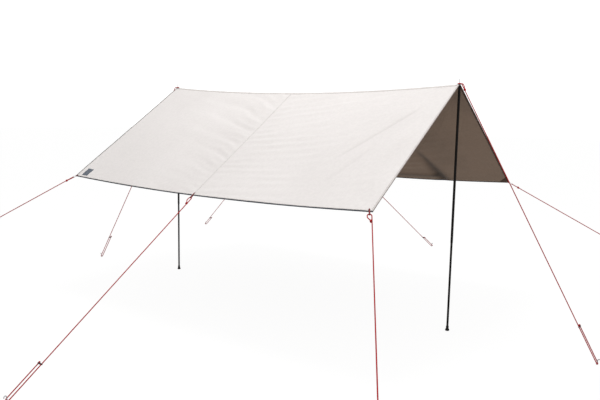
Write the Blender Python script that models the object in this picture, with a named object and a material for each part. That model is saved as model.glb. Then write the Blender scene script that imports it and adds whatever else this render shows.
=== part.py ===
"""A two-pole tarp shelter: four sewn cloth panels over two telescopic poles, held by eight guys.

Frame: origin on the ground under the middle of the ridge, +X along the ridge, front eave at -Y, +Z up.
All lengths are in metres.
"""
import math

import bmesh
import bpy
from mathutils import Matrix, Vector

# ---------------------------------------------------------------- driving dimensions
RIDGE_LENGTH = 3.50
HALF_SPAN = 1.3955
RIDGE_HEIGHT = 2.173
EAVE_HEIGHT = 1.2278
RIDGE_SAG = 0.066
EAVE_SAG = 0.046
CLOTH = 0.0012
GAP = 0.0003
HEM_WIDTH = 0.020
HEM_THICK = 0.0024
HEM_GAP = 0.0012
SEAM_X = -0.045
SEAM_TAPE_WIDTH = 0.016
SEAM_TAPE_THICK = 0.0008
LABEL_THICK = 0.0008
LAID_GAP = 0.0010
TAPE_LEG = 0.030
TAPE_THICK = 0.0014
TAPE_SHORT = 0.025

TAB_REACH = 0.012
TAB_HALF_WIDTH = 0.0125
TAB_GAP = 0.0008
TAB_THICK = 0.0024
PIN_X = RIDGE_LENGTH / 2 - 0.005
EYELET_BORE_R = 0.0055
EYELET_BARREL_R = 0.0063
EYELET_FLANGE_R = 0.0100
EYELET_FLANGE = 0.0008

PIN_R = 0.0030
PIN_ABOVE_CLOTH = 0.047
PIN_BELOW = 0.030
DOME_R = 0.0105
UPPER_TUBE_R = 0.0110
UPPER_BORE_R = 0.0098
LOWER_TUBE_R = 0.0095
LOWER_BORE_R = 0.0083
UPPER_TUBE_END = 0.80
LOWER_TUBE_TOP = 1.05
LOCK_STEM = 0.030
LOCK_HEAD = 0.032
FOOT_R = 0.018
FOOT_HEIGHT = 0.042
FOOT_FLOOR = 0.008

GUY_R = 0.0040
GUY_BEND_R = 0.016
KNOT_SWELL = 1.8
KNOT_HALF_LENGTH = 0.0045
LOOP_HALF_WIDTH = 0.006
LOOP_LENGTH = 0.028
LOOP_HEIGHT = 0.0125
LOOP_THICK = 0.0014
LOOP_BAR_FACE = -0.0095
LOOP_CLEAR = 0.0075
RUNNER_FROM_PEG = 0.30
RUNNER_HALF_LENGTH = 0.0240
RUNNER_HALF_WIDTH = 0.0070
RUNNER_HALF_THICK = 0.003
PEG_R = 0.0030
PEG_HEIGHT = 0.048
PEG_HOOK_R = 0.009
PEG_LEAN = math.radians(12)

CORNER_OUT_X = 1.988
CORNER_OUT_Y = 1.045
NEAR_FRONT_IN = 0.026
NEAR_FRONT_OUT_X = 1.203
NEAR_FRONT_OUT_Y = 1.860
MID_FRONT_OUT_X = 0.156
MID_FRONT_OUT_Y = 1.803
MID_REAR_OUT_X = 0.040
MID_REAR_OUT_Y = 1.965
NEAR_RIDGE_OUT_X = 1.250
FAR_RIDGE_OUT_X = 1.240
FAR_RIDGE_OUT_Y = -0.205

HALF_RIDGE = RIDGE_LENGTH / 2
SLOPE_LENGTH = math.hypot(HALF_SPAN, RIDGE_HEIGHT - EAVE_HEIGHT)
ROOF_ANGLE = math.atan2(RIDGE_HEIGHT - EAVE_HEIGHT, HALF_SPAN)
TAB_BOTTOM = RIDGE_HEIGHT - TAB_THICK
# The dome sits against the eyelet's lower rim, so the pole can lean without lifting the cloth.
SWING_Z = TAB_BOTTOM - 2 * GAP - EYELET_FLANGE - math.sqrt(DOME_R ** 2 - EYELET_BORE_R ** 2)

# ---------------------------------------------------------------- clean start
for stale in list(bpy.data.objects):
    bpy.data.objects.remove(stale, do_unlink=True)


# ---------------------------------------------------------------- materials
def material(name, colour, roughness, metallic=0.0):
    made = bpy.data.materials.new(name)
    made.use_nodes = True
    shader = made.node_tree.nodes["Principled BSDF"]
    shader.inputs["Base Color"].default_value = (*colour, 1.0)
    shader.inputs["Roughness"].default_value = roughness
    shader.inputs["Metallic"].default_value = metallic
    made.diffuse_color = (*colour, 1.0)
    return made


CLOTH_MAT = material("canopy_cloth", (0.83, 0.81, 0.80), 0.85)
HEM_MAT = material("hem_binding", (0.09, 0.10, 0.12), 0.80)
TAPE_MAT = material("seam_tape", (0.72, 0.71, 0.70), 0.80)
WEB_MAT = material("grey_webbing", (0.13, 0.13, 0.14), 0.85)
LOOP_MAT = material("loop_webbing", (0.14, 0.035, 0.035), 0.85)
LABEL_MAT = material("blank_label", (0.30, 0.38, 0.47), 0.60)
EYELET_MAT = material("eyelet_steel", (0.62, 0.62, 0.63), 0.30, 1.0)
UPPER_MAT = material("black_pole", (0.015, 0.015, 0.016), 0.35, 0.3)
LOWER_MAT = material("dark_pole", (0.022, 0.022, 0.024), 0.30, 0.4)
PLUG_MAT = material("black_nylon", (0.02, 0.02, 0.02), 0.55)
PIN_MAT = material("pin_steel", (0.66, 0.66, 0.67), 0.25, 1.0)
RUBBER_MAT = material("foot_rubber", (0.02, 0.02, 0.02), 0.90)
GUY_MAT = material("red_guy", (0.55, 0.035, 0.045), 0.75)
RUNNER_MAT = material("runner_nylon", (0.03, 0.03, 0.03), 0.50)
PEG_MAT = material("peg_steel", (0.55, 0.56, 0.57), 0.35, 1.0)


# ---------------------------------------------------------------- shared builders
def put(name, mesh, mat, location=(0, 0, 0), turn=None):
    mesh.materials.append(mat)
    made = bpy.data.objects.new(name, mesh)
    bpy.context.scene.collection.objects.link(made)
    made.location = location
    if turn is not None:
        made.rotation_euler = turn.to_euler()
    return made


def finish(work, name):
    bmesh.ops.recalc_face_normals(work, faces=work.faces)
    mesh = bpy.data.meshes.new(name)
    work.to_mesh(mesh)
    work.free()
    return mesh


def turned(name, profile, mat, location, sides=24, turn=None):
    """Spin a closed (radius, height) profile round Z; points at radius 0 meet on the axis."""
    work = bmesh.new()
    dots = [work.verts.new((r, 0.0, z)) for r, z in profile]
    on_axis = profile[0][0] == 0.0
    pairs = list(zip(dots, dots[1:]))
    if not on_axis:
        pairs.append((dots[-1], dots[0]))
    edges = [work.edges.new(pair) for pair in pairs]
    bmesh.ops.spin(work, geom=dots + edges, cent=(0, 0, 0), axis=(0, 0, 1), angle=math.tau,
                   steps=sides, use_merge=True)
    bmesh.ops.remove_doubles(work, verts=work.verts, dist=1e-6)
    return put(name, finish(work, name), mat, location, turn)


def roof_point(x, share, side):
    """A point on the cloth's upper face: share 0 at the ridge, 1 at the eave; side -1 front, +1 rear."""
    lift = (x / HALF_RIDGE) ** 2 - 1.0
    ridge = RIDGE_HEIGHT + RIDGE_SAG * lift
    eave = EAVE_HEIGHT + EAVE_SAG * lift
    return Vector((x, side * HALF_SPAN * share, ridge + (eave - ridge) * share))


def cloth_strip(name, side, x_range, share_range, cells, thick, mat, raise_by=0.0):
    """A thin closed sheet lying on the roof surface, its upper face raise_by above it."""
    work = bmesh.new()
    bmesh.ops.create_grid(work, x_segments=cells[0], y_segments=cells[1], size=0.5)
    for dot in work.verts:
        x = x_range[0] + (x_range[1] - x_range[0]) * (dot.co.x + 0.5)
        share = share_range[0] + (share_range[1] - share_range[0]) * (dot.co.y + 0.5)
        dot.co = roof_point(x, share, side)
    bmesh.ops.recalc_face_normals(work, faces=work.faces)
    work.normal_update()
    if sum(face.normal.z for face in work.faces) < 0:
        bmesh.ops.reverse_faces(work, faces=work.faces)
    work.normal_update()
    shifts = [dot.normal * raise_by for dot in work.verts]
    for dot, shift in zip(work.verts, shifts):
        dot.co += shift
    mesh = bpy.data.meshes.new(name)
    work.to_mesh(mesh)
    work.free()
    made = put(name, mesh, mat)
    solid = made.modifiers.new("thickness", "SOLIDIFY")
    solid.thickness = thick
    solid.offset = -1.0
    return made


# ---------------------------------------------------------------- canopy panels
RIDGE_EDGE = (CLOTH * math.sin(ROOF_ANGLE) + GAP / 2) / HALF_SPAN
# The gable hems stop short of the ridge, where the tab fills the notch between them.
NOTCH_EDGE = (TAB_HALF_WIDTH + TAB_GAP) / HALF_SPAN
HEM_SHARE = HEM_WIDTH / SLOPE_LENGTH
HEM_GAP_SHARE = HEM_GAP / SLOPE_LENGTH
PANEL_OUTER_X = HALF_RIDGE - HEM_WIDTH - HEM_GAP
PANEL_EAVE = 1.0 - HEM_SHARE - HEM_GAP_SHARE
HEM_RAISE = (HEM_THICK - CLOTH) / 2

for side, side_name in ((-1, "front"), (1, "rear")):
    cloth_strip("canopy_%s_panel_far" % side_name, side, (-PANEL_OUTER_X, SEAM_X - GAP / 2),
                (RIDGE_EDGE, PANEL_EAVE), (8, 4), CLOTH, CLOTH_MAT)
    cloth_strip("canopy_%s_panel_near" % side_name, side, (SEAM_X + GAP / 2, PANEL_OUTER_X),
                (RIDGE_EDGE, PANEL_EAVE), (8, 4), CLOTH, CLOTH_MAT)
    cloth_strip("centre_seam_tape_%s" % side_name, side,
                (SEAM_X - SEAM_TAPE_WIDTH / 2, SEAM_X + SEAM_TAPE_WIDTH / 2),
                (0.012, PANEL_EAVE - 0.004), (1, 8), SEAM_TAPE_THICK, TAPE_MAT,
                raise_by=SEAM_TAPE_THICK + LAID_GAP)
    cloth_strip("eave_hem_%s" % side_name, side, (-PANEL_OUTER_X, PANEL_OUTER_X),
                (1.0 - HEM_SHARE, 1.0), (18, 1), HEM_THICK, HEM_MAT, raise_by=HEM_RAISE)
    cloth_strip("gable_hem_%s_far" % side_name, side, (-HALF_RIDGE, -HALF_RIDGE + HEM_WIDTH),
                (NOTCH_EDGE, 1.0), (1, 8), HEM_THICK, HEM_MAT, raise_by=HEM_RAISE)
    cloth_strip("gable_hem_%s_near" % side_name, side, (HALF_RIDGE - HEM_WIDTH, HALF_RIDGE),
                (NOTCH_EDGE, 1.0), (1, 8), HEM_THICK, HEM_MAT, raise_by=HEM_RAISE)

# A blank patch sewn beside the far front corner.
cloth_strip("blank_label_patch", -1, (-1.6785, -1.5955), (0.9195, 0.9805), (1, 1), LABEL_THICK, LABEL_MAT,
            raise_by=LABEL_THICK + LAID_GAP)


# ---------------------------------------------------------------- ridge tape, tabs, eyelets
def ridge_tape():
    """A folded tape under the ridge, sewn along the seam from pole to pole."""
    drop = (HEM_THICK + 2 * GAP) / math.cos(ROOF_ANGLE)
    half = TAPE_LEG * math.cos(ROOF_ANGLE)
    work = bmesh.new()
    bmesh.ops.create_grid(work, x_segments=16, y_segments=2, size=0.5)
    for dot in work.verts:
        x = dot.co.x * 2 * (HALF_RIDGE - TAPE_SHORT)
        across = dot.co.y * 2
        side = -1 if across < 0 else 1
        spot = roof_point(x, abs(across) * half / HALF_SPAN, side)
        dot.co = spot - Vector((0, 0, drop))
    mesh = bpy.data.meshes.new("ridge_tape")
    work.to_mesh(mesh)
    work.free()
    made = put("ridge_tape", mesh, WEB_MAT)
    solid = made.modifiers.new("thickness", "SOLIDIFY")
    solid.thickness = TAPE_THICK
    solid.offset = -1.0
    solid.use_even_offset = True
    return made


ridge_tape()


def ridge_tab(name, end):
    """A flat webbing tab in the notch at the end of the ridge, with a round hole for its eyelet."""
    sides = 24
    inner_x = PANEL_OUTER_X + TAB_GAP
    outer_x = HALF_RIDGE + TAB_REACH
    hole_r = EYELET_BARREL_R + GAP
    work = bmesh.new()
    inner, outer = [], []
    for step in range(sides):
        angle = math.tau * step / sides
        ray = Vector((math.cos(angle), math.sin(angle)))
        reach_x = (outer_x - PIN_X) if ray.x > 0 else (PIN_X - inner_x)
        stretch = min(reach_x / max(abs(ray.x), 1e-9), TAB_HALF_WIDTH / max(abs(ray.y), 1e-9))
        inner.append(work.verts.new((ray.x * hole_r, ray.y * hole_r, 0)))
        outer.append(work.verts.new((ray.x * stretch, ray.y * stretch, 0)))
    for step in range(sides):
        nxt = (step + 1) % sides
        work.faces.new((inner[step], outer[step], outer[nxt], inner[nxt]))
    bottom = bmesh.ops.extrude_face_region(work, geom=list(work.faces))
    for item in bottom["geom"]:
        if isinstance(item, bmesh.types.BMVert):
            item.co.z -= TAB_THICK
    turn = Matrix.Rotation(0.0 if end > 0 else math.pi, 3, "Z")
    return put(name, finish(work, name), WEB_MAT, (end * PIN_X, 0, RIDGE_HEIGHT), turn)


def eyelet(name, end):
    """A pressed steel eyelet: a barrel through the tab with a flange on each face."""
    top = GAP
    low = -TAB_THICK - GAP
    profile = [(EYELET_BORE_R, low - EYELET_FLANGE), (EYELET_FLANGE_R, low - EYELET_FLANGE),
               (EYELET_FLANGE_R, low), (EYELET_BARREL_R, low), (EYELET_BARREL_R, top),
               (EYELET_FLANGE_R, top), (EYELET_FLANGE_R, top + EYELET_FLANGE),
               (EYELET_BORE_R, top + EYELET_FLANGE)]
    return turned(name, profile, EYELET_MAT, (end * PIN_X, 0, RIDGE_HEIGHT))


# ---------------------------------------------------------------- poles
def pole(label, end):
    x = end * PIN_X
    pin_top = RIDGE_HEIGHT + PIN_ABOVE_CLOTH
    pivot = (x, 0, SWING_Z)

    # Pin, origin on the swing axis.
    tip = pin_top - SWING_Z
    turned("%s_pole_pin" % label,
           [(0.0, -PIN_BELOW), (PIN_R - 0.0005, -PIN_BELOW), (PIN_R, -PIN_BELOW + 0.0005),
            (PIN_R, tip - 0.004), (PIN_R * 0.75, tip - 0.0012), (0.0, tip)],
           PIN_MAT, pivot, sides=16)

    # Plug: stem in the tube, dome under the eyelet, blind hole for the pin.
    hole = PIN_R + GAP
    dome = []
    last = math.asin(hole / DOME_R)
    for step in range(7):
        angle = math.pi / 2 + (last - math.pi / 2) * step / 6
        dome.append((DOME_R * math.sin(angle), DOME_R * math.cos(angle)))
    stem = UPPER_BORE_R - GAP
    profile = [(0.0, -0.050), (stem - 0.001, -0.050), (stem, -0.049), (stem, -0.0006),
               (DOME_R, -0.0006)] + dome + [(hole, -PIN_BELOW - GAP), (0.0, -PIN_BELOW - GAP)]
    turned("%s_pole_top_plug" % label, profile, PLUG_MAT, pivot)

    # Upper tube, origin on the swing axis.
    top = -0.0006 - GAP
    low = UPPER_TUBE_END - SWING_Z
    turned("%s_pole_upper_tube" % label,
           [(UPPER_BORE_R, low), (UPPER_TUBE_R - 0.0004, low), (UPPER_TUBE_R, low + 0.0004),
            (UPPER_TUBE_R, top - 0.0004), (UPPER_TUBE_R - 0.0004, top), (UPPER_BORE_R, top)],
           UPPER_MAT, pivot)

    # Lock bush, on the lower tube's top end inside the upper tube.
    head = UPPER_BORE_R - GAP
    stem = LOWER_BORE_R - GAP
    turned("%s_pole_lock_bush" % label,
           [(0.0, -LOCK_STEM), (stem - 0.0005, -LOCK_STEM), (stem, -LOCK_STEM + 0.0005),
            (stem, GAP), (head, GAP), (head, LOCK_HEAD - 0.001), (head - 0.001, LOCK_HEAD),
            (0.0, LOCK_HEAD)],
           PLUG_MAT, (x, 0, LOWER_TUBE_TOP))

    # Lower tube.
    start = FOOT_FLOOR + GAP
    turned("%s_pole_lower_tube" % label,
           [(LOWER_BORE_R, start), (LOWER_TUBE_R, start), (LOWER_TUBE_R, LOWER_TUBE_TOP - 0.0004),
            (LOWER_TUBE_R - 0.0004, LOWER_TUBE_TOP), (LOWER_BORE_R, LOWER_TUBE_TOP)],
           LOWER_MAT, (x, 0, 0))

    # Rubber foot, flat underneath.
    socket = LOWER_TUBE_R + GAP
    turned("%s_pole_foot" % label,
           [(0.0, 0.0), (FOOT_R - 0.0015, 0.0), (FOOT_R, 0.0015), (FOOT_R, 0.010),
            (FOOT_R - 0.003, 0.016), (socket + 0.0025, 0.020), (socket + 0.0022, FOOT_HEIGHT - 0.001),
            (socket + 0.0014, FOOT_HEIGHT), (socket, FOOT_HEIGHT), (socket, FOOT_FLOOR),
            (0.0, FOOT_FLOOR)],
           RUBBER_MAT, (x, 0, 0))


for end, label in ((1, "near"), (-1, "far")):
    ridge_tab("ridge_tab_%s" % label, end)
    eyelet("ridge_eyelet_%s" % label, end)
    pole(label, end)


# ---------------------------------------------------------------- guys, loops, runners, pegs
def guy_frame(anchor, peg_spot, hand=1):
    """Columns: across (level), normal to the slope, and down the guy; with the guy's run length."""
    down = (peg_spot - anchor).normalized()
    across = Vector((0, 0, 1)).cross(down).normalized() * hand
    normal = down.cross(across)
    turn = Matrix((across, normal, down)).transposed()
    return turn, (peg_spot - anchor).length


def rope(name, dots, fat, anchor, turn):
    """A round cord along dots; fat maps a point's place in the list to its radius factor."""
    data = bpy.data.curves.new(name, "CURVE")
    data.dimensions = "3D"
    data.resolution_u = 1
    data.bevel_depth = GUY_R
    data.bevel_resolution = 2
    data.use_fill_caps = True
    data.materials.append(GUY_MAT)
    line = data.splines.new("POLY")
    line.points.add(len(dots) - 1)
    for place, dot in enumerate(dots):
        line.points[place].co = (*dot, 1.0)
        line.points[place].radius = fat.get(place, 1.0)
    made = bpy.data.objects.new(name, data)
    bpy.context.scene.collection.objects.link(made)
    made.location = anchor
    made.rotation_euler = turn.to_euler()
    return made


def half_turn(centre_z, outward, start_side, steps=8):
    """Points round a half circle in the across-down plane, from start_side across to the other."""
    out = []
    for step in range(steps + 1):
        angle = math.pi * step / steps
        out.append((start_side * GUY_BEND_R * math.cos(angle), 0.0,
                    centre_z + outward * GUY_BEND_R * math.sin(angle)))
    return out


def peg_end(run, turn):
    """From the runner down one strand, round the peg, up the other strand to its end knot."""
    runner = run - RUNNER_FROM_PEG
    knot = runner - RUNNER_HALF_THICK - GAP - KNOT_HALF_LENGTH
    slope = math.asin(-turn.col[2].z)
    bend = run + (PEG_R + GUY_R + 0.0004) / math.cos(slope - PEG_LEAN) - GUY_BEND_R
    dots = [(GUY_BEND_R, 0, runner)]
    dots += half_turn(bend, 1, 1)
    dots += [(-GUY_BEND_R, 0, runner)]
    tail = len(dots)
    dots += [(-GUY_BEND_R, 0, knot + KNOT_HALF_LENGTH), (-GUY_BEND_R, 0, knot + 0.0025),
             (-GUY_BEND_R, 0, knot - 0.0025), (-GUY_BEND_R, 0, knot - KNOT_HALF_LENGTH)]
    return dots, {tail: 1.0, tail + 1: KNOT_SWELL, tail + 2: KNOT_SWELL, tail + 3: 1.0}


def corner_guy(name, anchor, peg_spot):
    """A guy whose upper eye goes through a webbing loop; its short end is knotted to itself."""
    turn, run = guy_frame(anchor, peg_spot)
    knot_side = GUY_BEND_R - GUY_R - KNOT_SWELL * GUY_R - 2 * GAP
    dots = [(knot_side, 0, 0.066), (knot_side, 0, 0.064), (knot_side, 0, 0.058), (knot_side, 0, 0.056),
            (knot_side - 0.002, 0, 0.048), (-GUY_BEND_R + 0.002, 0, 0.024), (-GUY_BEND_R, 0, 0.014)]
    fat = {0: 1.0, 1: KNOT_SWELL, 2: KNOT_SWELL, 3: 1.0}
    dots += half_turn(0.0, -1, -1)
    dots += [(GUY_BEND_R, 0, 0.06)]
    tail, tail_fat = peg_end(run, turn)
    for place, factor in tail_fat.items():
        fat[len(dots) + place] = factor
    dots += tail
    rope(name, dots, fat, anchor, turn)
    return turn, run


def ridge_guy(name, end, peg_spot):
    """A guy whose upper eye drops over the pole's pin, runs level off the tab, then bends down.

    Its main strand lies on the front side of the eye at both ends of the ridge.
    """
    level = RIDGE_HEIGHT + GAP + EYELET_FLANGE + GAP + GUY_R + 0.0003
    flat = Vector((peg_spot.x - end * PIN_X, peg_spot.y, 0)).normalized()
    bend_start = 0.014
    bend_radius = 0.017
    hinge = Vector((end * PIN_X, 0, level)) + flat * bend_start - Vector((0, 0, bend_radius))
    # The angle at which the straight run leaves the bend so that it meets the peg.
    reach = (peg_spot - hinge).dot(flat)
    drop = hinge.z - peg_spot.z
    slope = math.atan2(drop, reach) + math.asin(bend_radius / math.hypot(drop, reach))
    leave = hinge + flat * bend_radius * math.sin(slope) + Vector((0, 0, bend_radius * math.cos(slope)))
    turn, run = guy_frame(leave, peg_spot, -end)
    across, _, down = turn.col
    back = turn.transposed()

    def local(spot):
        return tuple(back @ (spot - leave))

    def bent(side):
        out = []
        for step in range(5):
            angle = slope * step / 4
            out.append(hinge + flat * bend_radius * math.sin(angle)
                       + Vector((0, 0, bend_radius * math.cos(angle))) + across * side * GUY_BEND_R)
        return out

    eye = Vector((end * PIN_X, 0, level)) + flat * 0.0015
    eye_dots = []
    for step in range(9):
        angle = math.pi * step / 8
        eye_dots.append(eye - flat * GUY_BEND_R * math.sin(angle)
                        - across * GUY_BEND_R * math.cos(angle))
    knot_side = GUY_BEND_R - GUY_R - KNOT_SWELL * GUY_R - 2 * GAP
    dots = [(knot_side, 0, 0.056), (knot_side, 0, 0.054), (knot_side, 0, 0.048), (knot_side, 0, 0.046),
            (knot_side - 0.002, 0, 0.040), (-GUY_BEND_R + 0.002, 0, 0.018)]
    fat = {0: 1.0, 1: KNOT_SWELL, 2: KNOT_SWELL, 3: 1.0}
    dots += [local(spot) for spot in reversed(bent(-1))]
    dots += [local(spot) for spot in eye_dots]
    dots += [local(spot) for spot in bent(1)]
    dots += [(GUY_BEND_R, 0, 0.06)]
    tail, tail_fat = peg_end(run, turn)
    for place, factor in tail_fat.items():
        fat[len(dots) + place] = factor
    dots += tail
    rope(name, dots, fat, leave, turn)
    return turn, run, leave


def webbing_loop(name, anchor, turn):
    """A strap loop: a flat-sided ring round the guy's eye, its wide sides facing up and down."""
    half = LOOP_HEIGHT / 2
    low = LOOP_BAR_FACE + LOOP_THICK
    centre_out = low - half
    centre_in = low - LOOP_LENGTH + half
    ring = []
    for step in range(5):
        angle = -math.pi / 2 + math.pi * step / 4
        ring.append((half * math.sin(angle), centre_out + half * math.cos(angle)))
    for step in range(5):
        angle = math.pi / 2 + math.pi * step / 4
        ring.append((half * math.sin(angle), centre_in + half * math.cos(angle)))
    work = bmesh.new()
    left = [work.verts.new((-LOOP_HALF_WIDTH, y, z)) for y, z in ring]
    right = [work.verts.new((LOOP_HALF_WIDTH, y, z)) for y, z in ring]
    count = len(ring)
    for step in range(count):
        nxt = (step + 1) % count
        work.faces.new((left[step], left[nxt], right[nxt], right[step]))
    work.normal_update()
    middle = Vector((0, 0, (centre_out + centre_in) / 2))
    lead = work.faces[:]
    if sum(face.normal.dot(face.calc_center_median() - middle) for face in lead) < 0:
        bmesh.ops.reverse_faces(work, faces=lead)
    mesh = bpy.data.meshes.new(name)
    work.to_mesh(mesh)
    work.free()
    made = put(name, mesh, LOOP_MAT, anchor, turn)
    solid = made.modifiers.new("thickness", "SOLIDIFY")
    solid.thickness = LOOP_THICK
    solid.offset = -1.0
    solid.use_even_offset = True
    return made


def runner(name, spot, turn):
    """A two-hole line runner: a flat bar with round ends, one strand of the guy through each hole."""
    hole = GUY_R + GAP
    sides = 16
    work = bmesh.new()
    rims = []
    for centre in (-GUY_BEND_R, GUY_BEND_R):
        rims.append([work.verts.new((centre + hole * math.cos(math.tau * k / sides),
                                     hole * math.sin(math.tau * k / sides), 0)) for k in range(sides)])
    edge = []
    straight = RUNNER_HALF_LENGTH - RUNNER_HALF_WIDTH
    for k in range(9):
        angle = -math.pi / 2 + math.pi * k / 8
        edge.append(work.verts.new((straight + RUNNER_HALF_WIDTH * math.cos(angle),
                                    RUNNER_HALF_WIDTH * math.sin(angle), 0)))
    edge.append(work.verts.new((0, RUNNER_HALF_WIDTH, 0)))
    for k in range(9):
        angle = math.pi / 2 + math.pi * k / 8
        edge.append(work.verts.new((-straight + RUNNER_HALF_WIDTH * math.cos(angle),
                                    RUNNER_HALF_WIDTH * math.sin(angle), 0)))
    edge.append(work.verts.new((0, -RUNNER_HALF_WIDTH, 0)))
    lines = []
    for ring in rims + [edge]:
        lines += [work.edges.new((ring[k], ring[(k + 1) % len(ring)])) for k in range(len(ring))]
    bmesh.ops.triangle_fill(work, use_beauty=True, use_dissolve=False, edges=lines)
    swept = bmesh.ops.extrude_face_region(work, geom=list(work.faces))
    moved = {item for item in swept["geom"] if isinstance(item, bmesh.types.BMVert)}
    for dot in work.verts:
        dot.co.z = -RUNNER_HALF_THICK if dot in moved else RUNNER_HALF_THICK
    return put(name, finish(work, name), RUNNER_MAT, spot, turn)


def peg(name, spot, outward):
    """The part of a hook peg that stands above the ground, cut flush at the ground line."""
    lean = outward * math.tan(PEG_LEAN)
    path = [Vector((0, 0, 0)), Vector((0, 0, 0.020)) + lean * 0.020,
            Vector((0, 0, PEG_HEIGHT - PEG_HOOK_R)) + lean * (PEG_HEIGHT - PEG_HOOK_R)]
    top = path[-1] + outward * PEG_HOOK_R
    for step in range(1, 7):
        angle = math.pi * step / 6
        path.append(top - outward * PEG_HOOK_R * math.cos(angle) + Vector((0, 0, PEG_HOOK_R * math.sin(angle))))
    path.append(path[-1] - Vector((0, 0, 0.006)))
    side = Vector((0, 0, 1)).cross(outward).normalized()
    sides = 10
    work = bmesh.new()
    rings = []
    for place, spot_here in enumerate(path):
        before = path[max(place - 1, 0)]
        after = path[min(place + 1, len(path) - 1)]
        along = (after - before).normalized()
        if place == 0:
            # The lowest ring is level, so the cut lies flat on the ground.
            other = outward / math.cos(PEG_LEAN)
        else:
            other = along.cross(side).normalized()
            other = other if other.dot(outward) > 0 or place > 2 else -other
        rings.append((spot_here, other))
    made_rings = []
    reference = outward
    for place, (spot_here, other) in enumerate(rings):
        if place and other.dot(reference) < 0:
            other = -other
        reference = other
        made_rings.append([work.verts.new(spot_here + other * PEG_R * math.cos(math.tau * k / sides)
                                          + side * PEG_R * math.sin(math.tau * k / sides))
                           for k in range(sides)])
    for low, high in zip(made_rings, made_rings[1:]):
        for k in range(sides):
            nxt = (k + 1) % sides
            work.faces.new((low[k], low[nxt], high[nxt], high[k]))
    work.faces.new(made_rings[0])
    work.faces.new(made_rings[-1])
    return put(name, finish(work, name), PEG_MAT, spot)


def ground_end(label, turn, anchor, run, peg_spot):
    down = turn.col[2]
    runner("%s_runner" % label, anchor + down * (run - RUNNER_FROM_PEG), turn)
    outward = Vector((down.x, down.y, 0)).normalized()
    height = peg_spot.z
    base = Vector((peg_spot.x, peg_spot.y, 0)) - outward * math.tan(PEG_LEAN) * height
    peg("%s_peg" % label, base, outward)


PEG_GRIP = 0.016
CORNERS = {
    "far_front": (Vector((-HALF_RIDGE, -HALF_SPAN, EAVE_HEIGHT)), (-CORNER_OUT_X, -CORNER_OUT_Y)),
    "near_front": (roof_point(HALF_RIDGE - NEAR_FRONT_IN, 1.0, -1), (NEAR_FRONT_OUT_X, -NEAR_FRONT_OUT_Y)),
    "near_rear": (Vector((HALF_RIDGE, HALF_SPAN, EAVE_HEIGHT)), (CORNER_OUT_X, CORNER_OUT_Y)),
    "far_rear": (Vector((-HALF_RIDGE, HALF_SPAN, EAVE_HEIGHT)), (-CORNER_OUT_X, CORNER_OUT_Y)),
    "mid_front": (roof_point(SEAM_X, 1.0, -1), (MID_FRONT_OUT_X, -MID_FRONT_OUT_Y)),
    "mid_rear": (roof_point(SEAM_X, 1.0, 1), (MID_REAR_OUT_X, MID_REAR_OUT_Y)),
}
for label, (corner, out) in CORNERS.items():
    peg_spot = Vector((corner.x + out[0], corner.y + out[1], PEG_GRIP))
    down = (peg_spot - corner).normalized()
    start = corner + down * (LOOP_LENGTH - LOOP_BAR_FACE - LOOP_THICK + LOOP_CLEAR)
    turn, run = corner_guy("%s_guy" % label, start, peg_spot)
    webbing_loop("%s_loop" % label, start, turn)
    ground_end(label, turn, start, run, peg_spot)

for end, label, out_x, out_y in ((1, "near_ridge", NEAR_RIDGE_OUT_X, 0.0),
                                 (-1, "far_ridge", FAR_RIDGE_OUT_X, FAR_RIDGE_OUT_Y)):
    peg_spot = Vector((end * (PIN_X + out_x), out_y, PEG_GRIP))
    turn, run, leave = ridge_guy("%s_guy" % label, end, peg_spot)
    ground_end(label, turn, leave, run, peg_spot)
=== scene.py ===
import math

import bmesh
import bpy
from mathutils import Matrix, Vector, noise


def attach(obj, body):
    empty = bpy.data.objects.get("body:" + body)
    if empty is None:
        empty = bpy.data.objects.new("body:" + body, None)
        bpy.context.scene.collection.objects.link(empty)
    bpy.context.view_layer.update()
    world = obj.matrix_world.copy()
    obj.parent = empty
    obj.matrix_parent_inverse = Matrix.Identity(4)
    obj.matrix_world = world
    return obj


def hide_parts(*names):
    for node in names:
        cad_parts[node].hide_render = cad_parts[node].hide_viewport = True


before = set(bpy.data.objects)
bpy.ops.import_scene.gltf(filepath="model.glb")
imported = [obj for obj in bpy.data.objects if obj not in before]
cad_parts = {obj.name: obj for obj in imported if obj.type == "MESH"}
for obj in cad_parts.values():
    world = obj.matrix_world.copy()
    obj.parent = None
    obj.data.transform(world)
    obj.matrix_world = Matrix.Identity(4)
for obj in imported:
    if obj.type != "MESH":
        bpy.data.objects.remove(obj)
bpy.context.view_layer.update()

ROOT = "canopy_set"

# ---------------------------------------------------------------- the CAD's own dimensions, in metres
RIDGE_LENGTH = 3.50
HALF_RIDGE = RIDGE_LENGTH / 2
HALF_SPAN = 1.3955
RIDGE_HEIGHT = 2.173
EAVE_HEIGHT = 1.2278
RIDGE_SAG = 0.066
EAVE_SAG = 0.046
SEAM_X = -0.045
GAP = 0.0003
EYELET_FLANGE = 0.0008
PIN_X = HALF_RIDGE - 0.005
NOTCH_X = HALF_RIDGE - 0.0212
NOTCH_SHARE = 0.0133 / HALF_SPAN
GUY_R = 0.0040
GUY_BEND_R = 0.016
KNOT_SWELL = 1.8
KNOT_HALF_LENGTH = 0.0045
LOOP_LENGTH = 0.028
LOOP_HEIGHT = 0.0125
LOOP_THICK = 0.0014
LOOP_BAR_FACE = -0.0095
LOOP_CLEAR = 0.0075
LOOP_HALF_WIDTH = 0.006
RUNNER_FROM_PEG = 0.30
RUNNER_HALF_THICK = 0.003
PEG_R = 0.0030
PEG_LEAN = math.radians(12)
PEG_GRIP = 0.016
CORNER_OUT_X = 1.988
CORNER_OUT_Y = 1.045
NEAR_FRONT_IN = 0.026
NEAR_FRONT_OUT_X = 1.203
NEAR_FRONT_OUT_Y = 1.860
MID_FRONT_OUT_X = 0.156
MID_FRONT_OUT_Y = 1.803
MID_REAR_OUT_X = 0.040
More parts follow.
